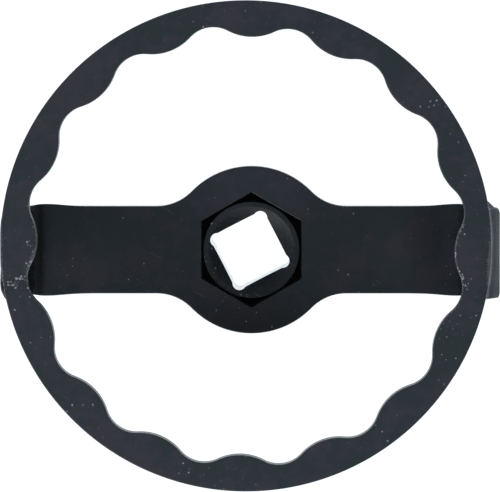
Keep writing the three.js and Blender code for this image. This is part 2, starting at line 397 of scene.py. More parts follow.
def black_finish(name, colour, cloud, cloud_size, roughness, spread, bump, dust, scratch,
                 wear=0.0):
    """A coated steel: every pattern is anchored to the object's own coordinates.

    The meshes may carry an attribute of painted light and shade, from -1 for painted shade to 1
    for painted light, "rub", from 0 to 1 where handling and welding have worn it, and "spatter",
    from 0 to 1 where droplets from the welding have knocked bright flecks out of it.
    """
    material = bpy.data.materials.new(name)
    material.use_nodes = True
    tree = material.node_tree
    shader = tree.nodes["Principled BSDF"]
    place = add(tree, "ShaderNodeTexCoord").outputs["Object"]
    edge, rub, painted_light_shade_mask, spatter = (
        add(tree, "ShaderNodeAttribute", attribute_name=key).outputs["Fac"]
        for key in ("edge", "rub", "painted_light_shade", "spatter"))

    def placed(group, **inputs):
        """A group's outputs in this material. Its input Cloud Size is given as cloud_size."""
        values = {key.replace("_", " ").title(): value for key, value in inputs.items()}
        return add(tree, "ShaderNodeGroup", {"Place": place, **values}, node_tree=group).outputs

    coat = placed(coating_group, colour=colour, cloud=cloud, cloud_size=cloud_size,
                  roughness=roughness, roughness_spread=spread)
    along = placed(scratches_group, angle=0.6, spacing=0.006, share=scratch)[0]
    across = placed(scratches_group, angle=-1.1, spacing=0.0045, share=scratch * 0.7)[0]
    hair = calc(tree, "MAXIMUM", along, across)
    specks = placed(specks_group, spacing=0.0011, size=0.19, share=dust, drift_size=0.012)[0]
    motes = placed(specks_group, spacing=0.0005, size=0.16, share=dust * 0.6,
                   drift_size=0.005)[0]
    flecks = placed(specks_group, spacing=0.0006, size=0.48, drift_size=0.0015,
                    share=calc(tree, "MULTIPLY", spatter, 3.0))[0]
    bright = calc(tree, "MULTIPLY", flecks, 2.2, clamp=True)
    dusty = calc(tree, "MAXIMUM", calc(tree, "MAXIMUM", specks, motes), bright)
    amount = calc(tree, "MULTIPLY_ADD", rub, 0.75, wear)
    worn = placed(wear_group, edge=edge, amount=amount, speckle_size=0.0005)[0]

    tint = coat["Colour"]
    # The first two layers paint light and shade: towards the grey where the mesh asks for painted
    # light, towards near black where it asks for painted shade. Roughness falls with painted
    # light and rises with painted shade.
    for mask, strength, layer in ((painted_light_shade_mask, 1.0, PAINTED_LIGHT), (painted_light_shade_mask, -1.0, PAINTED_SHADE),
                                  (hair, 0.32, SCRATCHED), (worn, 0.7, BARE_STEEL),
                                  (dusty, 0.8, DUST)):
        tint = blend(tree, calc(tree, "MULTIPLY", mask, strength, clamp=True), tint, layer)
    tree.links.new(tint, shader.inputs["Base Color"])
    tree.links.new(calc(tree, "MULTIPLY", worn, 0.35), shader.inputs["Metallic"])
    rough = calc(tree, "MULTIPLY_ADD", dusty, 0.3, coat["Roughness"])
    rough = calc(tree, "MULTIPLY_ADD", painted_light_shade_mask, -0.28, rough)
    rough = calc(tree, "MULTIPLY_ADD", hair, -0.06, rough, clamp=True)
    tree.links.new(rough, shader.inputs["Roughness"])
    height = calc(tree, "MULTIPLY_ADD", hair, -1.5, coat["Height"])
    height = calc(tree, "MULTIPLY_ADD", worn, -1.2, height)
    relief = add(tree, "ShaderNodeBump",
                 {"Strength": bump, "Distance": 0.00004, "Height": height})
    tree.links.new(relief.outputs[0], shader.inputs["Normal"])
    shader.inputs["Specular IOR Level"].default_value = 0.5
    return material


ring_black = black_finish(
    "ring_coating", colour=(0.036, 0.052, 0.054, 1), cloud=(0.064, 0.058, 0.074, 1),
    cloud_size=0.008, roughness=0.42, spread=0.16, bump=0.55, dust=0.34, scratch=0.7)
bar_black = black_finish(
    "bar_coating", colour=(0.0110, 0.0195, 0.0210, 1), cloud=(0.0310, 0.0265, 0.0360, 1),
    cloud_size=0.011, roughness=0.34, spread=0.14, bump=0.35, dust=0.20, scratch=1.0)
boss_black = black_finish(
    "boss_coating", colour=(0.0110, 0.0175, 0.0175, 1), cloud=(0.0290, 0.0280, 0.0340, 1),
    cloud_size=0.004, roughness=0.56, spread=0.14, bump=0.6, dust=0.25, scratch=0.9, wear=0.05)
bead_black = black_finish(
    "bead_coating", colour=(0.0090, 0.0125, 0.0200, 1), cloud=(0.0230, 0.0280, 0.0430, 1),
    cloud_size=0.0025, roughness=0.50, spread=0.25, bump=1.0, dust=0.25, scratch=0.35,
    wear=0.05)
print("materials", [m.name for m in bpy.data.materials])

# %% [markdown]
# ## The ring
#
# The ring is a flat steel plate, cut to a round rim outside and to sixteen lobes inside, which
# mesh with the flutes of a filter. It could be cut from a disc with sixteen booleans, but the
# hole is only two arcs repeated, so its edge can be written down exactly. A section of the
# plate, with its edges just broken, is then carried round that edge, and the rim is the same
# section's far side. A file has just touched the rim where the left leg is welded.

# %% The scalloped edge


def scallop(lobe_steps=14, pocket_steps=34):
    """The edge of the hole, as points and as unit directions that lead out of the metal.

    Each lobe is an arc about a centre outside the hole, and each pocket is an arc about a centre
    inside it. Where they meet, both centres and the meeting point are on one line, so they share
    a tangent: that gives the lobe's arc by the cosine rule, and how far each arc reaches.
    """
    half = math.pi / LOBES
    pocket_radius = rim_radius - RIM_WIDTH
    centre = pocket_radius - POCKET_ARC
    tip = pocket_radius - LOBE_DEPTH
    lobe_arc = (centre ** 2 + tip ** 2 - 2 * centre * tip * math.cos(half) - POCKET_ARC ** 2) / (
        2 * (POCKET_ARC - tip + centre * math.cos(half)))
    far = tip + lobe_arc
    reach = math.atan2(far * math.sin(half), far * math.cos(half) - centre)
    first = RING_TURN + 2 * half * np.arange(LOBES)[:, None]
    along = np.linspace(0, 1, lobe_steps, endpoint=False)[None, :]
    angle = first + math.pi + (reach - half) * (1 - 2 * along)
    out = heading(angle)
    lobe = far * heading(first) + lobe_arc * out
    along = np.linspace(0, 1, pocket_steps, endpoint=False)[None, :]
    second = first + half
    angle = second + reach * (2 * along - 1)
    away = heading(angle)
    pocket = centre * heading(second) + POCKET_ARC * away
    points = np.concatenate([lobe, pocket], axis=1).reshape(-1, 2)
    normals = np.concatenate([out, -away], axis=1).reshape(-1, 2)
    return points, normals


edge_points, edge_normals = scallop()
print("scallop", len(edge_points), "points, from", np.linalg.norm(edge_points, axis=1).min(),
      "to", np.linalg.norm(edge_points, axis=1).max())

# %% The ring's skin


def near_leg(x, y):
    """1 beside either leg of the bar and 0 far from both."""
    side = np.abs(np.abs(x - ring_centre[0]) - rim_radius)
    return bell(y - bar_centre[1], 9 * MM) * bell(side, 12 * MM)


def ring_blank():
    """A section of the plate carried round the scalloped edge.

    A column is one place on the scallop with the rim point at the same angle. A row is a step
    of the section: up the inner wall, over the face, down the rim and back under the plate.
    On the faces a point is the straight blend of its inner and its rim point. Two bell curves
    mark where spatter from the welding has chipped the coating over the left leg.
    """
    points, out = edge_points, edge_normals
    rim_way = heading(np.arctan2(points[:, 1], points[:, 0]))
    broken = 0.2 * MM
    inset, drop = rounding(broken)
    filed = -(rim_radius - 0.03 * MM)
    rows, edges, flecks = [], [], []

    def row(place, z, worn, fleck):
        rows.append(np.column_stack([place, np.full(len(place), z)]))
        edges.append(np.broadcast_to(worn, len(place)))
        flecks.append(np.broadcast_to(fleck, len(place)))

    def inner(distance, z, worn):
        row(points - out * distance, z, worn, 0.7 if z > ring_top - 1 * MM else 0.0)

    def rim(distance):
        place = rim_way * (rim_radius - distance)
        place[:, 0] = np.maximum(place[:, 0], filed + distance)
        return place

    def face(z, fractions):
        start = points - out * broken
        across = rim(broken) - start
        width = np.linalg.norm(across, axis=1)
        for fraction in fractions:
            nearest = np.minimum(fraction, 1 - fraction) * width
            worn = np.clip(1 - nearest / (1.2 * MM), 0, 1) ** 1.2 * 0.85
            row(start + across * fraction, z, worn, 0.7 * bell(fraction * width, 0.5 * MM))

    steps = np.array([0.05, 0.1, 0.17, 0.3, 0.5, 0.7, 0.83, 0.9, 0.95])
    for z in np.linspace(ring_bottom + broken, ring_top - broken, 6)[:-1]:
        inner(0, z, 0.35)
    for distance, depth in zip(drop, inset):
        inner(distance, ring_top - depth, 1.0)
    face(ring_top, steps)
    for distance, depth in zip(inset, drop):
        row(rim(distance), ring_top - depth, 1.0 if distance < broken else 0.9, 0.0)
    for z in np.linspace(ring_top - broken, ring_bottom + broken, 6)[1:-1]:
        row(rim(0), z, 0.25, 0.0)
    for distance, depth in zip(drop, inset):
        row(rim(distance), ring_bottom + depth, 0.9, 0.0)
    face(ring_bottom, steps[::-1])
    for distance, depth in zip(inset, drop):
        inner(distance, ring_bottom + depth, 0.9)
    grid = np.stack(rows)
    worn = np.stack(edges)
    x, y = grid[..., 0] / MM, grid[..., 1] / MM
    cluster = bell(x + 48.9, 1.9) * bell(y + 7.5, 0.7)
    small = 0.6 * bell(x + 44.9, 1.0) * bell(y - 0.5, 0.6)
    grid[..., :2] += ring_centre[:2]
    rub = near_leg(grid[..., 0], grid[..., 1])
    spatter = np.clip(np.stack(flecks) * rub ** 2 + cluster + small, 0, 1)
    layers = []
    for layer in (grid, worn, rub, spatter):
        closed = np.concatenate([layer, layer[:1]])
        layers.append(np.concatenate([closed, closed[:, :1]], axis=1))
    grid, worn, rub, spatter = layers
    return skin("ring_blank", [grid], {"edge": [worn], "rub": [rub], "spatter": [spatter]})


stand_for(ring_blank(), "filter_ring", ring_black)

# %% [markdown]
# ## The bar
#
# The bridge is a flat bar with a round hub, bent up at both ends. It is worked out flat, as it
# was cut, and then every point is bent: a point keeps its place across the bar, and its place
# along the bar becomes an angle inside the bend. Steel that is bent cold swells sideways on the
# inside of the bend and draws in on the outside, and its edges are soft from rolling. A plain
# extrusion would miss all of that.

# %% The flat pattern
BEND_START = leg_outer - INNER_BEND - BAR_THICKNESS
BEND_LENGTH = (INNER_BEND + BAR_THICKNESS / 2) * math.pi / 2
LEG_START = bar_bottom + INNER_BEND + BAR_THICKNESS
LEG_LENGTH = ring_bottom - LEG_START
FLAT_END = BEND_START + BEND_LENGTH + LEG_LENGTH
HOLE_FLAT = hex_flat + HEX_CLEARANCE
WELD_PREP = 1.5 * MM
SWELL, DRAWN_IN = 0.55 * MM, 0.3 * MM


def half_width(along, inset=0.0, level=0.0):
    """Half of the bar's width at a place along it, on a level from 0, outside, to 1, inside.

    Near the middle it is the hub's circle, then a fillet, then straight. An inset moves the
    edge square to itself. At each bend the inside is wider and the outside narrower, fading as
    a bell curve.
    """
    u = np.linspace(0, FLAT_END, 6000)
    centre_y = BAR_WIDTH / 2 + HUB_FILLET
    centre_u = math.sqrt((hub_radius + HUB_FILLET) ** 2 - centre_y ** 2)
    meet = centre_u * hub_radius / (hub_radius + HUB_FILLET)
    hub = np.sqrt(np.clip(hub_radius ** 2 - u ** 2, 0, None))
    fillet = centre_y - np.sqrt(np.clip(HUB_FILLET ** 2 - (u - centre_u) ** 2, 0, None))
    width = np.where(u < meet, hub, np.where(u < centre_u, fillet, BAR_WIDTH / 2))
    slope = np.gradient(width, u)
    length = np.sqrt(1 + slope ** 2)
    inside = np.interp(np.abs(along), u + inset * slope / length, width - inset / length)
    swell = SWELL * level * bell(np.abs(along) - 44.2 * MM, 5.1 * MM)
    drawn = DRAWN_IN * (1 - level) * bell(np.abs(along) - 49 * MM, 6 * MM)
    return inside + swell - drawn


def filed_back(across, side):
    """How far the outer corners of a leg are filed back where they meet the ring.

    It grows by the square of the distance past a starting line. On the left leg it is deep, and
    the far corner is filed longer than the near one. On the right leg only the burr is gone.
    """
    start = np.where(side > 0, 8.2 * MM, np.where(across > 0, 4.5 * MM, 7.2 * MM))
    share = np.clip((np.abs(across) - start) / (BAR_WIDTH / 2 - start), 0, 1)
    return np.where(side > 0, 0.35 * MM, 0.85 * MM) * share ** 2


def bent(along, across, level):
    """The place of a point of the flat bar after bending.

    Level runs from 0 on the outside to 1 on the inside. In the flat, z is the level times the
    thickness. In a bend the point turns about the bend's centre by the share of the bend's
    length that it has passed, at a radius that shrinks with its level. Past the bend it climbs.
    The outer corner of each leg's end is cut at 45 degrees for the weld. What is filed off the
    outer corners fades towards the bend, by the square of the height.
    """
    along, across, level = np.broadcast_arrays(along, across, level)
    far = np.abs(along)
    radius = INNER_BEND + BAR_THICKNESS * (1 - level)
    turn = np.clip((far - BEND_START) / BEND_LENGTH, 0, 1) * math.pi / 2
    climb = np.clip((far - BEND_START - BEND_LENGTH) / LEG_LENGTH, 0, 1)
    top = LEG_LENGTH - np.clip(WELD_PREP - level * BAR_THICKNESS, 0, None)
    x = np.minimum(far, BEND_START) + radius * np.sin(turn)
    x = x - filed_back(across, along) * climb ** 2 * (1 - level)
    z = LEG_START - radius * np.cos(turn) + climb * top
    return np.stack([np.sign(along) * x + bar_centre[0], across + bar_centre[1], z], axis=-1)


print("flat bar", round(2 * FLAT_END / MM, 1), "mm long, bends start at", BEND_START / MM)

# %% Painted light and shade on the bar


def bar_painted_light_shade(points):
    """Painted light at the hub's far edge, and painted shade at its near edge and inside the
    bends.

    Each patch is a bell curve in x and y, and each fades to nothing. On the arms and near the
    bends a few small patches paint light and one paints shade. The wall of the hexagonal hole is
    painted in shade too, below its upper edge.
    """
    x = (points[..., 0] - bar_centre[0]) / MM
    y = (points[..., 1] - bar_centre[1]) / MM

    painted_light_shade = 0.0
    for strength, at_x, at_y, wide, deep in (
            (0.26, 0, 15, 17, 8), (-0.85, 0, -17, 17, 8), (0.13, 31, -1, 7, 8),
            (0.06, -33, -5, 6, 6), (0.24, -43.8, 0, 3.4, 13), (0.22, 43.5, 0, 2.2, 12),
            (-0.35, 37.5, 4, 3, 8)):
        painted_light_shade = painted_light_shade + strength * bell(x - at_x, wide) * bell(y - at_y, deep)
    crease = np.clip((np.abs(x) - 45.0) / 0.12, 0, 1)
    flat = painted_light_shade * (1 - crease) - 0.97 * crease
    wall = np.hypot(x, y) < 12.7
    deep = wall & (points[..., 2] < bar_bottom + BAR_THICKNESS - 0.3 * MM)
    return np.where(deep, -0.95, flat)


# %% The bar's skin


def bridge_bar():
    """Faces, edge bands, ends and the six-sided hole, all worked out flat and then bent.

    Beyond the hole a row is a fixed share of the half-width. Beside the hole it is the same
    share of the way from the hole's edge to the bar's edge, so the grids meet.
    """
    soft, crisp = 0.32 * MM, 0.16 * MM
    hole = HOLE_FLAT + crisp
    shares = 1 - (1 - np.linspace(0, 1, 13)) ** 1.6
    hub_edge = float(half_width(hole, soft))
    split = hole * math.tan(30 * DEG) / hub_edge
    middle = np.linspace(-split, split, 13)
    beyond = split + shares[1:] * (1 - split)
    rows = np.concatenate([-beyond[::-1], middle, beyond])
    flat = np.linspace(hole, BEND_START, 44)
    curve = np.linspace(BEND_START, BEND_START + BEND_LENGTH, 25)
    leg = np.linspace(BEND_START + BEND_LENGTH, FLAT_END, 16)
    arm = np.concatenate([flat, curve[1:], leg[1:]])
    beside = np.linspace(-hole, hole, 49)
    hex_edge = hole / math.cos(30 * DEG) - np.abs(beside) * math.tan(30 * DEG)
    patches, worn = [], []

    def lay(along, across, level, edge):
        patches.append(bent(along, across, level))
        worn.append(np.broadcast_to(edge, patches[-1].shape[:-1]))

    def worn_by(distance):
        return np.clip(1 - distance / (1.3 * MM), 0, 1) ** 1.5 * 0.85

    for level in (0.0, 1.0):
        reach = half_width(arm, soft, level)[:, None]
        across = rows[None, :] * reach
        for side in (-1, 1):
            lay(side * arm[:, None], across, level, worn_by(reach - np.abs(across)))
        reach = half_width(beside, soft, level)[:, None]
        start = hex_edge[:, None]
        across = start + shares[None, :] * (reach - start)
        nearest = np.minimum(reach - across, across - start)
        for side in (-1, 1):
            lay(beside[:, None], side * across, level, worn_by(nearest))

    inset, rise = rounding(soft, 5)
    walls = np.array([WELD_PREP, 2.5 * MM, 3.5 * MM])
    insets = np.concatenate([inset, np.zeros(3), inset[::-1]])
    levels = np.concatenate([rise, walls, BAR_THICKNESS - rise[::-1]]) / BAR_THICKNESS
    whole = np.concatenate([-arm[::-1], beside[1:-1], arm])
    widths = np.stack([half_width(whole, i, v) for i, v in zip(insets, levels)], axis=1)
    for side in (-1, 1):
        lay(whole[:, None], side * widths, levels[None, :], 1.0)
        lay(side * FLAT_END, rows[:, None] * widths[-1], levels[None, :], 0.5)

    right = np.column_stack([np.full(middle.shape, hole), middle[::-1] * hub_edge])
    upper = np.column_stack([beside, hex_edge])
    loop = np.concatenate([upper, right[1:-1], -upper[:-1], -right[:-1], upper[:1]])
    inset, rise = rounding(crisp, 4)
    insets = np.concatenate([inset, inset[::-1]])
    levels = np.concatenate([rise, BAR_THICKNESS - rise[::-1]]) / BAR_THICKNESS
    scale = (HOLE_FLAT + insets) / hole
    lay(loop[:, :1] * scale[None, :], loop[:, 1:] * scale[None, :], levels[None, :], 0.9)
    rub = [near_leg(p[..., 0], p[..., 1]) * 0.4 for p in patches]
    # Painted light and shade over the whole bar, kept as a point attribute.
    painted_light_shade = [bar_painted_light_shade(p) for p in patches]
    return skin("bridge_bar", patches, {"edge": worn, "rub": rub, "painted_light_shade": painted_light_shade})


stand_for(bridge_bar(), "bridge_strap", bar_black)

# %% [markdown]
# ## The drive boss
#
# The boss is a hexagon of bar stock. One end is turned round to sit in the hub, both ends are
# countersunk, and a half-inch square is broached through it, a little off centre. The square
# and the hexagon don't share a centre, so one section can't simply be turned round an axis.
# Instead each column starts at a point of the square, and goes out at that point's own angle.

# %% The edge of a square or a hexagon


def polygon_radius(angle, sides, flat, corner, relief=0.0):
    """Distance from a polygon's middle to its edge, seen at an angle from one side's middle.

    A side is a straight line, so the distance is the distance to the flat over the cosine. A
    corner is a circle, which relief lets reach past the flats: there it is the far crossing of
    the ray with that circle.
    """
    step = TAU / sides
    local = np.mod(angle + step / 2, step) - step / 2
    off = np.abs(local) - step / 2
    centre = flat + relief - corner
    reach = centre / math.cos(step / 2)
    inside = corner ** 2 - (reach * np.sin(off)) ** 2
    rounded = reach * np.cos(off) + np.sqrt(np.clip(inside, 0, None))
    crossing = math.sqrt(corner ** 2 - (flat - centre) ** 2) if relief else 0.0
    start = math.atan2(centre * math.tan(step / 2) - crossing, flat)
    return np.where(np.abs(local) < start, flat / np.cos(local), rounded)


# %% The boss's skin


def drive_boss():
    """A closed section carried round the square: up its wall, out over the countersink, down
    the outside of the spigot and of the hexagon, and in under the lower countersink.
    """
    angle = np.linspace(0, TAU, 721)
    radius = polygon_radius(angle - SQUARE_TURN, 4, SQUARE / 2, SQUARE_CORNER, SQUARE_RELIEF)
    wall = radius[:, None] * heading(angle) + SQUARE_OFFSET
    inner = np.linalg.norm(wall, axis=1)
    way = wall / inner[:, None]
    phi = np.arctan2(wall[:, 1], wall[:, 0])
    spigot = hex_flat - SPIGOT_STEP
    hexagon = polygon_radius(phi, 6, hex_flat, HEX_CORNER)
    shoulder = boss_top - SPIGOT_LENGTH
    upper = np.maximum(spigot - SINK_RIM, inner + 0.06 * MM)
    lower = np.maximum(hex_flat - SINK_RIM, inner + 0.06 * MM)
    rise = upper - inner
    fall = lower - inner
    rows, edges = [], []

    def row(distance, z, worn=0.0):
        distance = np.broadcast_to(distance, inner.shape)
        z = np.broadcast_to(z, inner.shape)
        rows.append(np.column_stack([way * distance[:, None], z]))
        edges.append(np.full(inner.shape, worn))

    soft, broken = 0.05 * MM, 0.14 * MM
    for share in (0, 0.02, 0.1, 0.3, 0.5, 0.7, 0.9, 0.98):
        row(inner, boss_bottom + fall + (boss_top - rise - boss_bottom - fall) * share, 0.1)
    row(inner + soft * 0.3, boss_top - rise + soft * 0.3, 0.9)
    for share in (0.12, 0.3, 0.6, 0.85):
        row(inner + rise * share, boss_top - rise * (1 - share), 0.15)
    row(upper - soft, boss_top - soft, 0.9)
    row(upper + soft, boss_top, 0.9)
    for share in (0.3, 0.7):
        row(upper + (spigot - upper) * share, boss_top, 0.35)
    for distance, depth in zip(*rounding(broken)):
        row(spigot - distance, boss_top - depth, 1.0)
    for share in (0.3, 0.7, 1.0):
        row(spigot, boss_top - broken + (shoulder - boss_top + broken) * share, 0.2)
    row(hexagon - 0.1 * MM, shoulder, 0.2)
    row(hexagon, shoulder - 0.1 * MM, 0.3)
    chamfer = END_CHAMFER_RADIUS
    slope = math.tan(30 * DEG)
    foot = boss_bottom + (hexagon - chamfer) * slope
    for share in (0.15, 0.4, 0.65, 0.85, 0.96):
        row(hexagon, shoulder + (foot - shoulder) * share, 0.3)
    row(hexagon, foot + 0.06 * MM, 0.9)
    row(hexagon - 0.08 * MM, foot - 0.03 * MM, 0.9)
    row((hexagon + chamfer) / 2, boss_bottom + (hexagon - chamfer) / 2 * slope, 0.4)
    row(chamfer + 0.05 * MM, boss_bottom + 0.04 * MM, 0.9)
    row(chamfer - 0.05 * MM, boss_bottom, 0.9)
    row((chamfer + lower) / 2, boss_bottom, 0.5)
    row(lower + soft, boss_bottom, 0.9)
    row(lower - soft, boss_bottom + soft, 0.9)
    for share in (0.75, 0.45, 0.15):
        row(inner + fall * share, boss_bottom + fall * (1 - share), 0.2)
    grid = np.stack(rows + rows[:1])
    worn = np.stack(edges + edges[:1])
    x, y, z = grid[..., 0] / MM, grid[..., 1] / MM, grid[..., 2]
    far = np.hypot(x, y)
    facet = far < 9.1
    # Painted light and shade: lighter towards +y and darker towards -y, lighter on the right of
    # the hole and its countersinks and darker on their left, and a little darker towards the
    # upper right. Painted shade covers the boss away from the hole, from just below the shoulder
    # to near its top, where it sits inside the hub, and painted light covers the square's wall
    # above its lowest 2 mm.
    painted_light_shade = np.where(y > 0, 0.018 * y, 0.045 * y) + np.where(facet, 0.03 * np.minimum(x, 2), 0)
    painted_light_shade = painted_light_shade - 0.02 * np.clip(x + y - 4, 0, 6)
    broached = np.abs(far * MM - inner) < 0.01 * MM
    hidden = (z < boss_top - 0.3 * MM) & (far > 10)
    painted_light_shade = np.where(hidden & (z > shoulder - 1 * MM), -0.97, np.clip(painted_light_shade, -0.7, 0.3))
    painted_light_shade = np.where(broached & (z > boss_bottom + 2 * MM), 1.9, painted_light_shade)
    grid[..., :2] += bar_centre[:2]
    return skin("drive_boss", [grid], {"edge": [worn], "rub": [worn * 0.2], "painted_light_shade": [painted_light_shade]},
                sharp=28 * DEG)


stand_for(drive_boss(), "drive_hex", boss_black)

# %% [markdown]
# ## The weld beads
#
# A weld bead is metal that froze in steps, so its face carries small crescents that point back
# along the seam, and its width wanders a little. Each bead here is a section carried along its
# seam. The ripples are part of the shape, not of the material, so they also show at the bead's
# outline. The right outer bead was dressed lengthwise with a file and the left one was filed
# flush, so those two carry fine streaks instead of crescents.

# %% Ripples


def wander(along, period, seed):
    """A smooth, irregular curve between about -1 and 1: five sines with seeded phases."""
    dice = np.random.default_rng(seed)
    phases, rates = dice.uniform(0, TAU, 5), dice.uniform(0.6, 1.9, 5)
    waves = [np.sin(TAU * along / period * rate + phase) for rate, phase in zip(rates, phases)]
    return sum(waves) / 3


def crescents(along, share, pitch, uneven):
    """Ripple height from 0 to 1 on a bead's face, where share runs from 0 to 1 across it.

    The phase is the distance along the seam over the pitch, lagging towards both toes by the
    square of the distance from the middle, with an uneven part. The wave is rounded on top and
    sharp below.
    """
    lag = 0.7 * (2 * share - 1) ** 2
    phase = along[:, None] / pitch + lag + uneven[:, None]
    return np.abs(np.sin(math.pi * phase)) ** 0.8


def bead_face(start, end, bulge, share):
    """Points from one toe to the other, bulging to the left of the way by a half sine."""
    way = end - start
    out = np.stack([-way[..., 1], way[..., 0]], axis=-1)
    out = out / np.linalg.norm(out, axis=-1, keepdims=True)
    lift = bulge * np.sin(math.pi * share)
    return start + way * share[..., None] + out * lift[..., None]


def carried(name, section, along, side, painted_light_shade):
    """A bead along Y. section is rows by points by (x, z), from the bar's middle.

    The last argument is the painted light and shade, for all of the bead or for each point of the
    section. The bead's ends get a little painted shade.
    """
    points = np.stack([side * section[..., 0] + bar_centre[0],
                       np.broadcast_to(along[:, None], section.shape[:2]) + bar_centre[1],
                       section[..., 1]], axis=-1)
    points = np.concatenate([points, points[:, :1]], axis=1)
    caps = []
    for end in (0, -1):
        loop = points[end]
        middle = np.broadcast_to(loop[:-1].mean(axis=0), loop.shape)
        caps.append(np.stack([loop, (loop + middle) / 2, middle]))
    edges = [np.full(points.shape[:2], 0.35)] + [np.full(cap.shape[:2], 0.3) for cap in caps]
    rub = [np.full(edge.shape, 0.3) for edge in edges]
    painted_light_shades = [np.full(edge.shape, -0.2) for edge in edges]
    painted_light_shades[0][:, :-1] = painted_light_shade
    return skin(name, [points, *caps], {"edge": edges, "rub": rub, "painted_light_shade": painted_light_shades},
                sharp=50 * DEG)


# %% The beads outside the legs


def rim_from_bar(side, along):
    """How far the ring's rim is from the bar's middle, on one side, at a place along Y."""
    height = along + bar_centre[1] - ring_centre[1]
    half = np.sqrt(rim_radius ** 2 - height ** 2)
    return half + side * (ring_centre[0] - bar_centre[0])


def outer_bead(name, side, over_top, over_foot, dressed):
    """It fills the cut corner of the leg and climbs the rim, then runs out at both ends.

    The size is 1 along the leg. Past the leg's edges it falls in a straight line, and on the far
    end of the right bead it drops by a third first, where the leg's corner stands free.
    """
    half = BAR_WIDTH / 2
    along = np.linspace(-half - over_foot, half + over_top, 200)
    past = np.where(along > 0, (along - half) / over_top, (-along - half) / over_foot)
    size = 1 - 0.93 * np.clip(past, 0, 1)
    if side > 0:
        size = np.where(along > 0, np.interp(past, [0, 0.12, 1], [1, 0.66, 0.07]), size)
    rim = rim_from_bar(side, along)
    filed = filed_back(np.clip(along, -half, half), side)
    below = WELD_PREP + 0.25 * MM
    climb = 1 - below / LEG_LENGTH
    root = np.column_stack([np.minimum(rim, leg_outer - WELD_PREP),
                            np.full(len(along), ring_bottom)])

    def scaled(x, z):
        place = np.column_stack([x, np.broadcast_to(z, rim.shape)])
        return root + (place - root) * size[:, None]

    uneven = 0.12 * MM * wander(along, 6 * MM, 3 if side > 0 else 4)
    top_z = ring_bottom + RIM_CLIMB + uneven * 2
    if side > 0:
        top_x = rim - 0.06 * MM
    else:
        built = np.clip((-along - 3.3 * MM) / (3 * MM), 0, 1)
        built = built * np.clip((along + 9.2 * MM) / (1.6 * MM), 0, 1)
        top_z = top_z + 1.7 * MM * built
        top_x = np.minimum(rim - 0.06 * MM + 0.44 * MM * built, leg_outer - 0.14 * MM - filed)
    toe = scaled(leg_outer - 0.02 * MM - filed * climb ** 2, ring_bottom - below)
    top = scaled(top_x, top_z)
    share = np.linspace(0, 1, 31)[None, :]
    face = bead_face(toe[:, None, :], top[:, None, :], -0.28 * MM * size[:, None], share)
    streak = np.sin(share * 61 + 2 * wander(along, 21 * MM, 7)[:, None])
    streak = streak + 0.6 * np.sin(share * 143 + 3 * wander(along, 13 * MM, 8)[:, None])
    ripple = crescents(along, share, 0.95 * MM, 0.35 * wander(along, 8.55 * MM, 11))
    relief = 0.04 * MM * streak * dressed + 0.075 * MM * ripple * (1 - dressed)
    fade = np.sin(math.pi * share) ** 0.5 * size[:, None]
    face[..., 0] += relief * fade
    sunk = rim - 0.2 * MM
    back = np.stack([
        np.column_stack([top[:, 0] - 0.15 * MM, top[:, 1]]),
        np.column_stack([sunk, top[:, 1] - 0.05 * MM]),
        np.column_stack([np.minimum(sunk, root[:, 0]), root[:, 1] + 0.02 * MM]),
        root - np.array([0.1 * MM, 0.06 * MM]),
        np.column_stack([toe[:, 0] - 0.12 * MM, toe[:, 1] + 0.02 * MM]),
    ], axis=1)
    section = np.concatenate([face, back], axis=1)
    # Painted shade over the whole bead. On the right bead the face is painted instead: highlights
    # near its top and its toe, patchy along the seam and streaked along the file marks, with
    # shade between them.
    painted_light_shade = np.full(section.shape[:2], -0.85)
    if side > 0:
        bright = 1.5 * bell(share - 0.94, 0.08) + 0.8 * bell(share, 0.08)
        patchy = 1 + 0.6 * wander(along, 7 * MM, 9)[:, None]
        painted_light_shade[:, :share.size] = bright * patchy - 0.4 + 0.35 * streak
    return carried(name, section, along, side, painted_light_shade)


stand_for(outer_bead("outer_bead_right", 1, 1.7 * MM, 0.3 * MM, dressed=0.85),
          "outer_weld_right", bead_black)
stand_for(outer_bead("outer_bead_left", -1, 0.3 * MM, 0.6 * MM, dressed=0.8),
          "outer_weld_left", bead_black)

# %% The beads inside the bends, under the ring


def inner_bead(name, side, seed):
    """A fillet in the corner between the leg and the back of the ring, sunk a little in both."""
    half, sunk = BAR_WIDTH / 2 + 0.3 * MM, 0.03 * MM
    along = np.linspace(-half, half, 220)
    size = np.sqrt(np.clip(1 - (np.abs(along) / (half + 0.02 * MM)) ** 8, 0.02, 1))
    lumpy = 1 + 0.13 * wander(along, 5 * MM, seed)
    leg = INNER_BEAD * size * lumpy
    wall, roof = leg_outer - BAR_THICKNESS, ring_bottom + sunk
    toe = np.column_stack([wall - leg, np.full(len(along), roof)])
    foot = np.column_stack([np.full(len(along), wall + sunk), ring_bottom - leg])
    share = np.linspace(0, 1, 25)[None, :]
    ripple = crescents(along, share, 1.05 * MM, 0.35 * wander(along, 9.45 * MM, seed + 20))
    bulge = (0.22 * MM + 0.09 * MM * ripple) * size[:, None]
    face = bead_face(toe[:, None, :], foot[:, None, :], -bulge, share)
    corner = np.full((len(along), 1, 2), (wall + sunk, roof))
    # The whole bead gets painted shade, three quarters of the way to near black.
    return carried(name, np.concatenate([face, corner], axis=1), along, side, -0.75)


stand_for(inner_bead("inner_bead_right", 1, seed=31), "inner_weld_right",
          bead_black)
stand_for(inner_bead("inner_bead_left", -1, seed=32), "inner_weld_left",
          bead_black)

# %% The bead round the hexagon


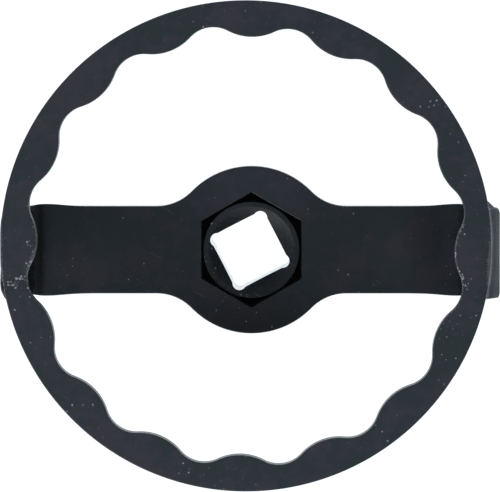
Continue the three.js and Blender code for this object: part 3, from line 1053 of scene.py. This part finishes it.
def drive_bead():
    """A fillet round the hexagon, under the bar, with its start and stop in one place, where the
    bead is thickest.
    """
    angle = np.linspace(0, TAU, 721)
    root = polygon_radius(angle, 6, hex_flat, HEX_CORNER) - 0.05 * MM
    soft = polygon_radius(angle, 6, hex_flat + DRIVE_BEAD, 1.5 * DRIVE_BEAD)
    path = angle * (hex_flat + DRIVE_BEAD / 2)
    whole = path[-1]
    lap = bell(np.minimum(path, whole - path), 3 * MM)
    fade = np.sin(angle / 2) ** 0.4
    uneven = wander(path, 12 * MM, 41) * fade
    reach = soft + 0.16 * MM * uneven + 0.25 * MM * lap
    drop = DRIVE_BEAD + 0.14 * MM * wander(path, 10 * MM, 42) * fade + 0.2 * MM * lap
    top = np.full(len(angle), bar_bottom + 0.05 * MM)
    toe = np.column_stack([reach, top])
    foot = np.column_stack([root, bar_bottom - drop])
    share = np.linspace(0, 1, 27)[None, :]
    ripple = crescents(path, share, whole / 74, 0.4 * uneven * fade)
    bulge = 0.24 * MM + 0.1 * MM * ripple + 0.15 * MM * lap[:, None]
    face = bead_face(foot[:, None, :], toe[:, None, :], -bulge, share)
    corner = np.column_stack([root, top])[:, None, :]
    section = np.concatenate([face, corner, face[:, :1]], axis=1)
    plan = section[..., :1] * heading(angle)[:, None, :] + bar_centre[:2]
    grid = np.concatenate([plan, section[..., 1:]], axis=-1)
    grid[-1] = grid[0]
    worn = np.full(grid.shape[:2], 0.3)
    return skin("drive_bead", [grid], {"edge": [worn], "rub": [worn]}, sharp=50 * DEG)


stand_for(drive_bead(), "drive_weld", bead_black)

# %% [markdown]
# ## Table, light and camera
#
# The tool stands on a white, back-lit table, as for a catalogue. Black steel shows mostly what
# it reflects: a modest white panel overhead gives the flat faces their even dark grey, the dim
# ring round the panel darkens the bends, and the table and the pale walls light whatever looks
# sideways, such as the right bead. On top of that the bar, the boss and the beads carry painted
# light and shade: black in the bends, the hub lighter at its far edge and darker at its near
# edge, and highlights on the right bead. A broad lamp low on the near left adds some direction.

# %% The table


def table_finish():
    """A white sheet lit from behind, so that shadows don't grey it."""
    material = bpy.data.materials.new("white_table")
    material.use_nodes = True
    tree = material.node_tree
    shader = tree.nodes["Principled BSDF"]
    place = add(tree, "ShaderNodeTexCoord").outputs["Object"]
    cloud = noise(tree, place, 40.0, 2.0)[0]
    white = blend(tree, cloud, (0.22, 0.22, 0.22, 1), (0.24, 0.24, 0.24, 1))
    tree.links.new(white, shader.inputs["Base Color"])
    shader.inputs["Roughness"].default_value = 0.7
    shader.inputs["Specular IOR Level"].default_value = 0.2
    shader.inputs["Emission Color"].default_value = (0.91, 0.96, 1.0, 1)
    shader.inputs["Emission Strength"].default_value = 1.08
    return material


side = np.linspace(-2.5, 2.5, 9)
grid_x, grid_y = np.meshgrid(side, side)
table_points = np.stack([grid_x, grid_y, np.full_like(grid_x, boss_bottom)], axis=-1)
table_mesh = bpy.data.meshes.new("table")
table_mesh.from_pydata(table_points.reshape(-1, 3), [], quads(9, 9))
table = bpy.data.objects.new("table", table_mesh)
bpy.context.scene.collection.objects.link(table)
table_mesh.materials.append(table_finish())
print("table normal", tuple(table_mesh.polygons[0].normal))

# %% The light


def sky(overhead, between, horizon):
    """A white ceiling panel overhead, a dim ring round it, and white walls at the horizon.

    The strength follows the height of the ray: two smooth steps, one at the panel's edge and
    one from the dim ring down to the walls.
    """
    world = bpy.data.worlds.new("studio sky")
    world.use_nodes = True
    tree = world.node_tree
    background = tree.nodes["Background"]
    ray = add(tree, "ShaderNodeTexCoord").outputs["Generated"]
    height = add(tree, "ShaderNodeSeparateXYZ", {"Vector": ray}).outputs["Z"]
    low = ramp(tree, calc(tree, "MULTIPLY", height, -1.0), -0.55, -0.1)
    high = ramp(tree, height, 0.90, 0.97)
    strength = calc(tree, "MULTIPLY_ADD", low, horizon - between, between)
    strength = calc(tree, "MULTIPLY_ADD", high, overhead - between, strength)
    background.inputs["Color"].default_value = (0.84, 0.96, 1.10, 1)
    tree.links.new(strength, background.inputs["Strength"])
    bpy.context.scene.world = world


def lamp(name, place, size, power):
    """A square soft lamp that faces the middle of the tool."""
    light = bpy.data.lights.new(name, "AREA")
    light.energy = power
    light.size = size
    lamp_object = bpy.data.objects.new(name, light)
    aim = Vector((0, 0, float(ring_top) / 2))
    lamp_object.location = Vector(place)
    lamp_object.rotation_mode = "QUATERNION"
    lamp_object.rotation_quaternion = (aim - lamp_object.location).to_track_quat("-Z", "Y")
    bpy.context.scene.collection.objects.link(lamp_object)


sky(overhead=0.42, between=0.16, horizon=1.0)
lamp("low left lamp", place=(-0.55, -0.75, 0.42), size=0.7, power=4.6)
bpy.context.scene.view_settings.view_transform = "Standard"
bpy.context.scene.view_settings.look = "None"

# %% The camera
# It looks straight down from a metre above the ring, leaning a degree or two, with the long
# way of the bar across the view. FIELD is how wide the view is at the ring.
RANGE = 0.971
FIELD = 0.10482
LEAN_X, LEAN_Y = 0.46 * DEG, 2.13 * DEG
camera_data = bpy.data.cameras.new("camera")
camera_data.sensor_width = 36
camera_data.lens = 36 * RANGE / FIELD
camera_data.clip_start = 0.05
camera = bpy.data.objects.new("camera", camera_data)
aim = Vector((ring_centre[0] + 0.89 * MM, ring_centre[1] + 0.078 * MM, ring_top))
back = Vector((math.tan(LEAN_X), math.tan(LEAN_Y), 1)).normalized()
camera.location = aim + back * RANGE
level = Vector((1, 0, 0)) - back * back.x
level.normalize()
turn = Matrix((level, back.cross(level), back)).transposed()
camera.rotation_mode = "QUATERNION"
camera.rotation_quaternion = turn.to_quaternion()
bpy.context.scene.collection.objects.link(camera)
bpy.context.scene.camera = camera
print("lens", round(camera_data.lens, 1), "camera", tuple(round(v, 3) for v in camera.location))
